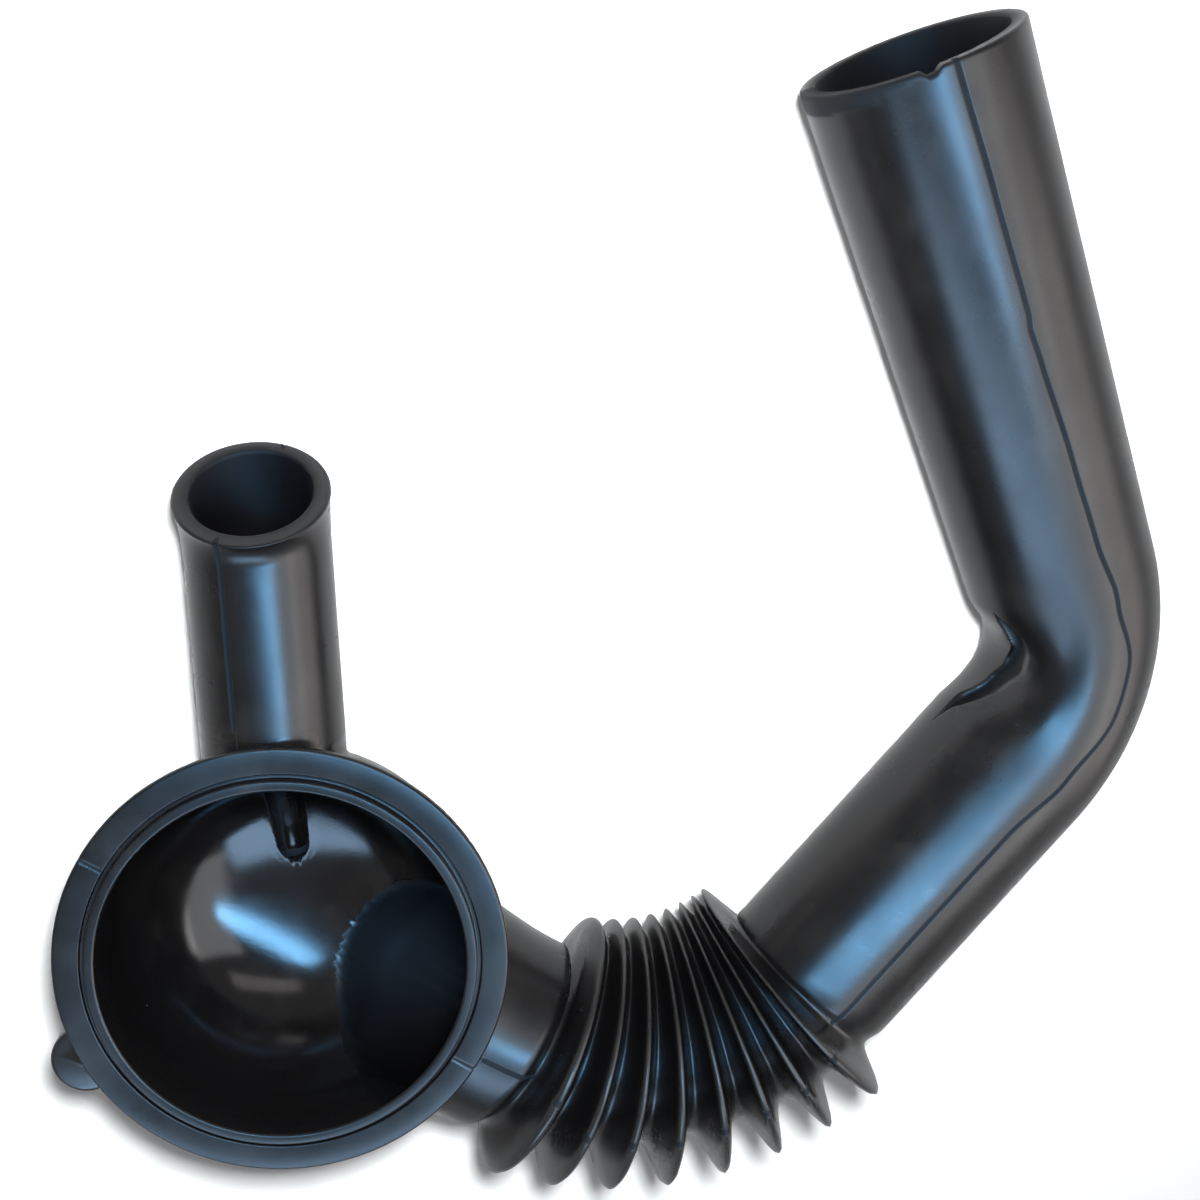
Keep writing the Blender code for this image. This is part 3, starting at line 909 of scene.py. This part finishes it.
def pipe_marks(bm, line):
    """Marks for the folds' crests, the mouth's band and the torn place, which is cut in."""
    crest, band, inner, crease = (
        layer(bm, name) for name in ("fold_crest", "mouth_band", "inner_side", "crease"))

    def mark(vert, distance, around):
        edge = line.length - distance
        degrees_round = degrees(around)
        torn = between(abs(degrees_round - NOTCH_MIDDLE), [(1.0, 1.0), (NOTCH_WIDTH, 0.0)])
        torn *= between(edge, [(0.0, 1.0), (NOTCH_LENGTH, 0.0)])
        vert.co -= line.upper * (NOTCH_DEPTH * torn)
        # The torn place takes the crease mark, so the material darkens it: painted shade in the tear
        vert[crease] = torn
        if vert[inner] > 0.5:
            return
        if line.folds_from < distance < line.folds_to:
            # The crest mark lightens the tops of the folds in the material: painted highlight
            vert[crest] = line.crest_share(distance)
        if BAND_WIDTH[0][0] < degrees_round < BAND_WIDTH[-1][0]:
            vert[band] = 1.0 if edge < between(degrees_round, BAND_WIDTH) else 0.0

    return mark


def crease_fold(distance, around):
    """Depth of the elbow's fold at a place, from 0 to 1."""
    width = between(distance, CREASE_WIDTH)
    if width < 0.3:
        return 0.0
    off = (around - between(distance, CREASE_MIDDLE)) / width
    if off > 0.0:
        return 1.0 - min(1.0, (off / CREASE_SHARP) ** 4) if off < CREASE_SHARP else 0.0
    return max(0.0, 1.0 - (off / -CREASE_FLAT) ** 2) ** 1.5 if off > -CREASE_FLAT else 0.0


def crease_elbow(bm, line, pipe):
    """Folds the elbow's inner side in along a crescent, sharp on one side, and marks the fold for painted
    shade.
    """
    along, around, crease, inner = (layer(bm, name) for name in ("along", "around", "crease", "inner_side"))

    def near(distance, turned, reach):
        return abs(turned - between(distance, CREASE_MIDDLE)) <= reach

    for _ in range(2):
        edges = set()
        for face in bm.faces:
            turns = [vert[around] for vert in face.verts]
            if max(turns) - min(turns) > pi or any(vert[inner] > 0.5 for vert in face.verts):
                continue
            distance = sum(vert[along] for vert in face.verts) / len(face.verts)
            if 0.183 < distance < 0.240 and near(distance, degrees(sum(turns) / len(turns)), 15.0):
                edges.update(face.edges)
        bmesh.ops.subdivide_edges(bm, edges=list(edges), cuts=1, use_grid_fill=True)
    for vert in bm.verts:
        distance = vert[along]
        turned = degrees(vert[around])
        if vert[inner] > 0.5 or not 0.180 < distance < 0.244 or not near(distance, turned, 17.0):
            continue
        fold = crease_fold(distance, turned)
        strength = min(1.0, between(distance, CREASE_WIDTH) / CREASE_FULL)
        depth = pipe.crease_depth * fold * strength
        vert.co = line.point(distance, vert[around], line.radius(distance), depth)
        # The fold's mark darkens it in the material: painted shade in the fold
        vert[crease] = fold


def spout_rings(line, spout):
    """Rings of the spout from its joint over the mouth and back down the bore."""
    stops = stops_along(
        (SPOUT_JOINT, spout.length, 0.0022),
        (spout.length, line.length - MOUTH_ROUNDING, 0.0012))
    rings = [(stop, line.radius(stop), SEAM_DEPTH, False) for stop in stops[:-1]]
    rings += mouth_rings(line, spout.wall)
    stops = stops_along(
        (line.length - 0.002, spout.length, 0.0020),
        (spout.length, SPOUT_JOINT, 0.0080))
    rings += [(stop, line.radius(stop) - spout.wall, 0.0, True) for stop in stops]
    return rings


def rest_matrix():
    """Turns the bowl's frame to the resting pose."""
    towards = heading(LEAN_AZIMUTH, 0.0)
    lean = Matrix.Rotation(radians(LEAN_ANGLE), 4, Vector((0, 0, 1)).cross(towards))
    return Matrix.Translation(REST_PLACE) @ lean


def build_hose(scene):
    """The whole moulding as one closed mesh, at rest on the floor."""
    bowl = scene.hose_bowl
    pipe = scene.hose_pipe
    bellows = scene.hose_bellows
    spout = scene.hose_spout
    line = PipeLine(pipe, bellows)
    spout_line = SpoutLine(spout)
    ring_angles = columns([0.0, pi], 96, SEAM_COLUMN / (pipe.leg_outside / 2))
    spout_angles = columns([0.0, pi], 64, SEAM_COLUMN / (spout.outside / 2))
    mesh = hose_core(bowl, pipe, spout, line, spout_line, ring_angles, spout_angles)
    bm = bmesh.new()
    bm.from_mesh(mesh)
    open_joint(bm, *line.at(NECK_JOINT), NECK_REACH)
    open_joint(bm, *spout_line.at(SPOUT_JOINT), SPOUT_REACH)
    soften_junctions(bm, bowl)
    mark_bores(bm, ((line, NECK_ROOT, pipe.wall), (spout_line, SPOUT_DARK, spout.wall)))
    tube = add_layers(bmesh.new())
    draw_tube(tube, line, ring_angles, pipe_rings(line, pipe, bellows), pipe_marks(tube, line))
    crease_elbow(tube, line, pipe)
    side = add_layers(bmesh.new())
    draw_tube(side, spout_line, spout_angles, spout_rings(spout_line, spout))
    for part in (tube, side):
        joined = bpy.data.meshes.new("hose_tube")
        part.to_mesh(joined)
        part.free()
        bm.from_mesh(joined)
    rims = [vert for vert in bm.verts if vert.is_boundary]
    bmesh.ops.remove_doubles(bm, verts=rims, dist=2e-5)
    bmesh.ops.recalc_face_normals(bm, faces=bm.faces)
    bmesh.ops.transform(bm, matrix=rest_matrix(), verts=bm.verts)
    low, high = (Vector(corner) for corner in cad_box)
    for vert in bm.verts:
        for axis in range(3):
            vert.co[axis] = min(max(vert.co[axis], low[axis]), high[axis])
    for face in bm.faces:
        face.smooth = True
    finished = bpy.data.meshes.new("connecting_hose")
    bm.to_mesh(finished)
    bm.free()
    hose = bpy.data.objects.new("connecting_hose", finished)
    scene.collection.objects.link(hose)
    return hose


def new_group(name, inputs, outputs):
    """Node group with float outputs, a vector input and further float inputs."""
    group = bpy.data.node_groups.new(name, "ShaderNodeTree")
    group.interface.new_socket(name="Vector", in_out="INPUT", socket_type="NodeSocketVector")
    for label, default in inputs:
        socket = group.interface.new_socket(name=label, in_out="INPUT", socket_type="NodeSocketFloat")
        socket.default_value = default
    for label in outputs:
        group.interface.new_socket(name=label, in_out="OUTPUT", socket_type="NodeSocketFloat")
    return group, group.nodes.new("NodeGroupInput"), group.nodes.new("NodeGroupOutput")


def put(tree, value, socket):
    """Gives a socket a fixed value, or links the output of another node to it."""
    if isinstance(value, bpy.types.NodeSocket):
        tree.links.new(value, socket)
    else:
        socket.default_value = value


def filled(tree, kind, values):
    """New node with values or links put into its sockets."""
    made = tree.nodes.new(kind)
    for label, value in values.items():
        put(tree, value, made.inputs[label])
    return made


def math(tree, operation, first, second=0.0):
    made = filled(tree, "ShaderNodeMath", {0: first, 1: second})
    made.operation = operation
    return made.outputs[0]


def noise(tree, where, scale, detail, roughness):
    made = filled(tree, "ShaderNodeTexNoise",
                  {"Vector": where, "Scale": scale, "Detail": detail, "Roughness": roughness})
    return made.outputs["Fac"]


def ramp(tree, value, low, high):
    """Eased from 0 at the low value to 1 at the high one."""
    made = filled(tree, "ShaderNodeMapRange", {"Value": value, "From Min": low, "From Max": high})
    made.interpolation_type = "SMOOTHSTEP"
    return made.outputs["Result"]


def mix_colour(tree, factor, first, second):
    made = tree.nodes.new("ShaderNodeMix")
    made.data_type = "RGBA"
    for index, value in ((0, factor), (6, first), (7, second)):
        put(tree, value, made.inputs[index])
    return made.outputs[2]


def axis(tree, vector, name):
    """One coordinate of a vector."""
    return filled(tree, "ShaderNodeSeparateXYZ", {0: vector}).outputs[name]


def object_place(tree):
    return tree.nodes.new("ShaderNodeTexCoord").outputs["Object"]


def ray_kinds(tree):
    """1 for rays that see a surface directly, and 1 for rays that a surface mirrors."""
    path = tree.nodes.new("ShaderNodeLightPath")
    seen = math(tree, "MAXIMUM", path.outputs["Is Camera Ray"], path.outputs["Is Transmission Ray"])
    return seen, path.outputs["Is Glossy Ray"]


def rgba(tint):
    return tuple(tint) + (1.0,)


def grain_group():
    """Fine moulded grain: a height for the bump and a slow change of gloss."""
    group, start, end = new_group("Rubber grain", [("Fine", 1.0), ("Coarse", 1.0)], ["Height", "Gloss"])
    where = start.outputs["Vector"]
    fine = math(group, "MULTIPLY", noise(group, where, 1900.0, 3.0, 0.6), start.outputs["Fine"])
    coarse = math(group, "MULTIPLY", noise(group, where, 170.0, 2.0, 0.5), start.outputs["Coarse"])
    put(group, math(group, "ADD", fine, coarse), end.inputs["Height"])
    put(group, ramp(group, noise(group, where, 38.0, 4.0, 0.6), 0.30, 0.72), end.inputs["Gloss"])
    return group


def dust_group():
    """Faint bloom and a few light specks that settle on upward faces."""
    group, start, end = new_group("Rubber dust", [("Amount", 0.5)], ["Bloom", "Specks"])
    where = start.outputs["Vector"]
    cloud = ramp(group, noise(group, where, 60.0, 5.0, 0.65), 0.45, 0.80)
    normal = group.nodes.new("ShaderNodeNewGeometry").outputs["Normal"]
    bloom = math(group, "MULTIPLY", cloud, ramp(group, axis(group, normal, "Z"), 0.1, 0.9))
    put(group, math(group, "MULTIPLY", bloom, start.outputs["Amount"]), end.inputs["Bloom"])
    cells = filled(group, "ShaderNodeTexVoronoi", {"Vector": where, "Scale": 130.0, "Randomness": 1.0})
    near = math(group, "LESS_THAN", cells.outputs["Distance"], 0.045)
    tone = filled(group, "ShaderNodeSeparateColor", {0: cells.outputs["Color"]})
    rare = math(group, "GREATER_THAN", tone.outputs[0], 0.955)
    put(group, math(group, "MULTIPLY", near, rare), end.inputs["Specks"])
    return group


def group_node(tree, group, values):
    made = tree.nodes.new("ShaderNodeGroup")
    made.node_tree = group
    for label, value in values.items():
        put(tree, value, made.inputs[label])
    return made.outputs


def rubber_material(look):
    """Satin black rubber: grain, slow gloss changes, bloom, seams and bores darkened as painted shade,
    crests lightened as a painted highlight.
    """
    material = bpy.data.materials.new("rubber_black")
    material.use_nodes = True
    tree = material.node_tree
    shader = tree.nodes["Principled BSDF"]
    where = object_place(tree)
    grain = group_node(tree, grain_group(), {"Vector": where, "Fine": 1.0, "Coarse": 1.6})
    dust = group_node(tree, dust_group(), {"Vector": where, "Amount": 0.03})
    marks = {}
    for name in MARKS:
        attribute = tree.nodes.new("ShaderNodeAttribute")
        attribute.attribute_name = name
        marks[name] = attribute.outputs["Fac"]
    # Painted shade in the seams' grooves, and in the elbow's fold and the torn place through the crease
    # mark
    seams = ramp(tree, marks["seam_line"], 0.15, 0.75)
    dark = math(tree, "MAXIMUM", seams, ramp(tree, marks["crease"], 0.30, 0.75))
    # The band along the mouth's edge is darker too, and duller
    dark = math(tree, "MAXIMUM", dark, math(tree, "MULTIPLY", marks["mouth_band"], 0.75))
    # Painted highlight: the top of each fold is lightened towards the dust colour
    crest_highlight = math(tree, "MULTIPLY", ramp(tree, marks["fold_crest"], 0.80, 1.0), 0.03)
    warm = [value * factor for value, factor in zip(look.base, (1.35, 1.15, 1.05))]
    body = rgba(look.base)
    for amount, tint in (
            (grain["Gloss"], warm),
            (dust["Bloom"], look.dust),
            (crest_highlight, look.dust),
            (dust["Specks"], look.dust),
            # Painted shade inside the bores, in the seam colour
            (math(tree, "MAXIMUM", dark, marks["bore"]), look.dark)):
        body = mix_colour(tree, amount, body, rgba(tint))
    put(tree, body, shader.inputs["Base Color"])
    rough = look.roughness - GLOSS_CHANGE / 2
    for amount, change in (
            (grain["Gloss"], GLOSS_CHANGE),
            (marks["inner_side"], -0.15),
            (marks["bore"], 0.45),
            (dark, 0.50),
            (dust["Bloom"], 0.8)):
        rough = math(tree, "ADD", rough, math(tree, "MULTIPLY", amount, change))
    put(tree, rough, shader.inputs["Roughness"])
    relief = filled(tree, "ShaderNodeBump",
                    {"Strength": 0.18, "Distance": 0.00006, "Height": grain["Height"]})
    put(tree, relief.outputs["Normal"], shader.inputs["Normal"])
    put(tree, 0.55, shader.inputs["Specular IOR Level"])
    return material


def stage_floor(look):
    """White floor that keeps the shadow, plain white far away and darker where it is mirrored."""
    bm = bmesh.new()
    bmesh.ops.create_grid(bm, x_segments=2, y_segments=2, size=3.0)
    mesh = bpy.data.meshes.new("floor")
    bm.to_mesh(mesh)
    bm.free()
    floor = bpy.data.objects.new("floor", mesh)
    material = bpy.data.materials.new("floor_white")
    material.use_nodes = True
    tree = material.node_tree
    seen, mirrored = ray_kinds(tree)
    place = object_place(tree)
    squares = [math(tree, "POWER", axis(tree, place, name), 2.0) for name in "XY"]
    away = math(tree, "SQRT", math(tree, "ADD", *squares))
    far = math(tree, "MULTIPLY", ramp(tree, away, look.near, look.far), 1.0 - look.glow)
    glow = math(tree, "MULTIPLY", seen, math(tree, "ADD", far, look.glow))
    glow = math(tree, "ADD", glow, math(tree, "MULTIPLY", mirrored, look.mirrored_glow))
    finish = {
        "Base Color": mix_colour(tree, mirrored, rgba(look.floor), rgba(look.mirrored_floor)),
        "Roughness": 0.9,
        "Specular IOR Level": 0.1,
        "Emission Color": (1.0, 1.0, 1.0, 1.0),
        "Emission Strength": glow,
    }
    for label, value in finish.items():
        put(tree, value, tree.nodes["Principled BSDF"].inputs[label])
    mesh.materials.append(material)
    return floor


def stage_world(look):
    """White backdrop low down, a dark room overhead."""
    world = bpy.data.worlds.new("studio")
    world.use_nodes = True
    tree = world.node_tree
    back = tree.nodes["Background"]
    where = tree.nodes.new("ShaderNodeTexCoord").outputs["Generated"]
    low = ramp(tree, axis(tree, where, "Z"), 0.16, 0.00)
    room = math(tree, "ADD", math(tree, "MULTIPLY", low, look.surround - look.ceiling), look.ceiling)
    seen, mirrored = ray_kinds(tree)
    fill = math(tree, "MULTIPLY", math(tree, "SUBTRACT", 1.0, mirrored), look.fill)
    room = math(tree, "ADD", math(tree, "MULTIPLY", room, mirrored), fill)
    put(tree, (1.0, 1.0, 1.0, 1.0), back.inputs["Color"])
    put(tree, math(tree, "MAXIMUM", seen, room), back.inputs["Strength"])
    return world


def facing(place, right, back):
    """Placement with X to the right and Z backwards."""
    right = (right - back * right.dot(back)).normalized()
    return Matrix.Translation(place) @ Matrix((right, back.cross(right), back)).transposed().to_4x4()


def area_light(name, place, azimuth, wide, high, tint, glare, card=True):
    """Soft box that faces the object, its long side along an azimuth; a card shows only mirrored."""
    data = bpy.data.lights.new(name, "AREA")
    data.shape = "RECTANGLE"
    data.size = wide
    data.size_y = high
    data.color = tint
    data.energy = glare * pi * wide * high
    lamp = bpy.data.objects.new(name, data)
    lamp.matrix_world = facing(place, heading(azimuth, 0.0), Vector(place).normalized())
    lamp.visible_diffuse = not card
    lamp.visible_glossy = card
    return lamp


def photo_camera():
    """Camera that sees the hose as the photograph does."""
    data = bpy.data.cameras.new("camera")
    data.sensor_fit = "HORIZONTAL"
    data.sensor_width = 36.0
    data.lens = 54.0
    data.clip_start = 0.01
    data.clip_end = 20.0
    camera = bpy.data.objects.new("camera", data)
    camera.matrix_world = facing(CAMERA_PLACE, Vector(CAMERA_RIGHT), Vector(CAMERA_BACK).normalized())
    return camera


class HOSE_OT_moulding(bpy.types.Operator):
    """Models the rubber moulding and gives it its finish"""
    bl_idname = "hose.moulding"
    bl_label = "Rubber moulding"

    def execute(self, context):
        hose = build_hose(context.scene)
        hose.data.materials.append(rubber_material(context.scene.hose_rubber))
        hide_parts("hose")
        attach(hose, "root")
        return {"FINISHED"}


class HOSE_OT_stage(bpy.types.Operator):
    """Lays the white floor and sets the lights and the camera"""
    bl_idname = "hose.stage"
    bl_label = "Stage"

    def execute(self, context):
        look = context.scene.hose_stage
        link_to = context.scene.collection.objects.link
        floor = stage_floor(look)
        link_to(floor)
        context.scene.world = stage_world(look)
        lamps = (
            ("window_light", (-0.45, -1.72, 2.20), 18.0, 2.40, 0.85, look.window, look.window_glare),
            ("sky_light", (0.60, -0.20, 0.95), 0.0, 0.80, 1.00, look.sky, look.sky_glare),
            ("bar_light", (0.00, 0.03, 1.05), -33.0, 0.86, 0.13, look.bar, look.bar_glare),
            ("back_light", (0.15, 0.66, 1.00), 0.0, 0.80, 0.25, look.side, look.back_glare),
            ("shadow_light", (-0.040, 0.174, 0.385), 0.0, 0.04, 0.04, look.sky, look.shadow_glare, False),
            ("side_light", (1.05, -0.25, 0.55), 90.0, 1.00, 0.80, look.side, look.side_glare),
        )
        for lamp in lamps:
            link_to(area_light(*lamp))
        camera = photo_camera()
        link_to(camera)
        context.scene.camera = camera
        context.scene.view_settings.view_transform = "Standard"
        return {"FINISHED"}


class HOSE_PT_panel(bpy.types.Panel):
    bl_label = "Connecting hose"
    bl_idname = "HOSE_PT_panel"
    bl_space_type = "VIEW_3D"
    bl_region_type = "UI"
    bl_category = "Hose"

    def draw(self, context):
        layout = self.layout
        for name, group in GROUPS.items():
            box = layout.box()
            box.label(text=name.replace("_", " ").capitalize())
            values = getattr(context.scene, name)
            for field in group.__annotations__:
                box.prop(values, field)
        for operator in (HOSE_OT_moulding, HOSE_OT_stage):
            layout.operator(operator.bl_idname)


CLASSES = tuple(GROUPS.values()) + (HOSE_OT_moulding, HOSE_OT_stage, HOSE_PT_panel)


def register():
    for item in CLASSES:
        bpy.utils.register_class(item)
    for name, group in GROUPS.items():
        setattr(bpy.types.Scene, name, PointerProperty(type=group))


def unregister():
    for name in GROUPS:
        delattr(bpy.types.Scene, name)
    for item in reversed(CLASSES):
        bpy.utils.unregister_class(item)


def main():
    register()
    bpy.ops.hose.moulding()
    bpy.ops.hose.stage()


if __name__ == "__main__":
    main()
